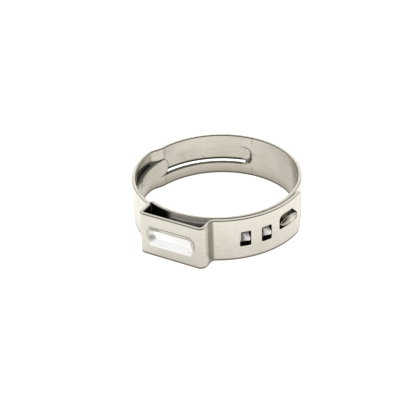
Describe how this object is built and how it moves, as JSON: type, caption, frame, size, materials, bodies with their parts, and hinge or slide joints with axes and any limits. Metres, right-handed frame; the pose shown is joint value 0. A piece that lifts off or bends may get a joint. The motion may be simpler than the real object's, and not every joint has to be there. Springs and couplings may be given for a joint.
{
  "type": "ear hose clamp",
  "caption": "One-ear stepless hose clamp folded from one steel strip, with a dimpled ear, hooks in windows and a tongue.",
  "frame": {"origin": "on the bore axis, half-way up the strip", "axes": "+Z along the bore axis, towards the rim that is up when it lies flat; -Y points out through the middle of the ear"},
  "size_m": [0.027, 0.0283, 0.007],
  "materials": {
    "strip": "cold-rolled satin stainless, a little warm"
  },
  "bodies": {
    "root": {"clamp_band": "strip"}
  },
  "joints": []
}
